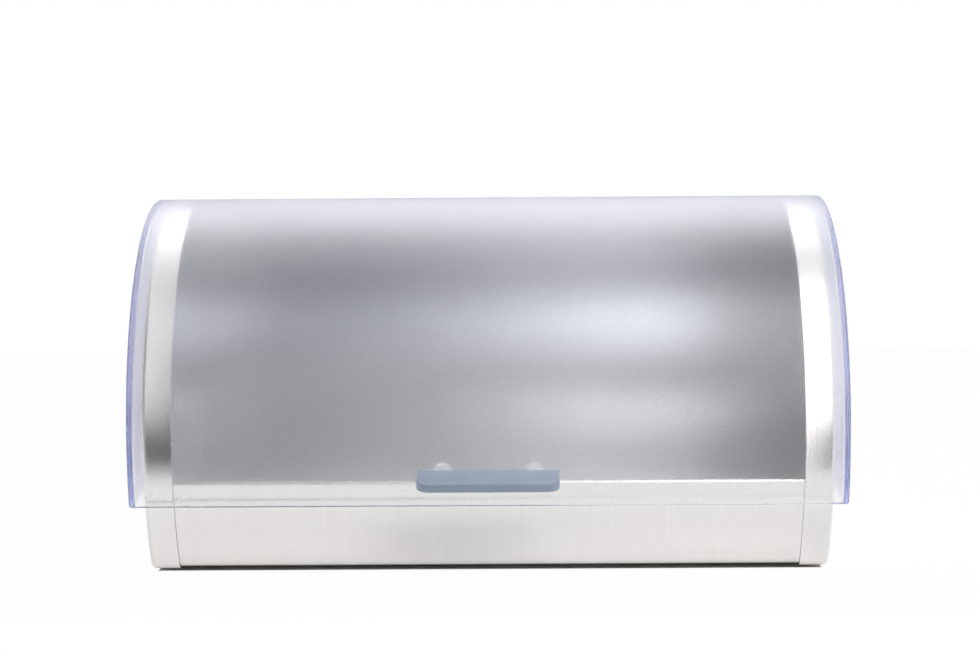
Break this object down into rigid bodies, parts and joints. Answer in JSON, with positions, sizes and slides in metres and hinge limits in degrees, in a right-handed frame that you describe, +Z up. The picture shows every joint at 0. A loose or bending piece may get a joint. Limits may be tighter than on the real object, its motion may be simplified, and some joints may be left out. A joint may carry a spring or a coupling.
{
  "type": "bread box",
  "caption": "Bread box with a brushed steel body and a one-piece frosted curved cover that swings up and back on side pivots, opened by a slate grey plate handle.",
  "frame": {"origin": "centre of the footprint on the surface that the feet stand on", "axes": "+X to the right seen from the front, along the pivot axis; +Y to the back; +Z up"},
  "size_m": [0.3964, 0.2752, 0.2076],
  "materials": {
    "body_steel": "vertical brushing, satin",
    "frosted_cover": "frosted translucent, bluish at its edges",
    "handle_plastic": "satin slate blue-grey",
    "white_plastic": "satin white",
    "bright_steel": "bright turned steel",
    "foot_rubber": "matt dark"
  },
  "bodies": {
    "box": {"end_cap_left": "body_steel", "end_cap_right": "body_steel", "front_apron": "body_steel", "base_panel": "body_steel", "back_panel": "body_steel", "foot_front_left": "foot_rubber", "foot_front_right": "foot_rubber", "foot_rear_left": "foot_rubber", "foot_rear_right": "foot_rubber", "hinge_pin_left": "bright_steel", "hinge_pin_right": "bright_steel", "hinge_spacer_left": "white_plastic", "hinge_spacer_right": "white_plastic", "hinge_washer_left": "bright_steel", "hinge_washer_right": "bright_steel", "hinge_nut_left": "bright_steel", "hinge_nut_right": "bright_steel"},
    "cover": {"lid_cover": "frosted_cover", "handle": "handle_plastic", "handle_screw_left": "bright_steel", "handle_screw_right": "bright_steel", "bumper_left": "white_plastic", "bumper_right": "white_plastic", "hinge_bush_left": "white_plastic", "hinge_bush_right": "white_plastic"}
  },
  "joints": [
    {"name": "cover_hinge", "type": "hinge", "parent": "box", "child": "cover", "pos_m": [0, 0.01501, 0.0796], "axis": [-1, 0, 0], "range_deg": [0, 90]}
  ]
}
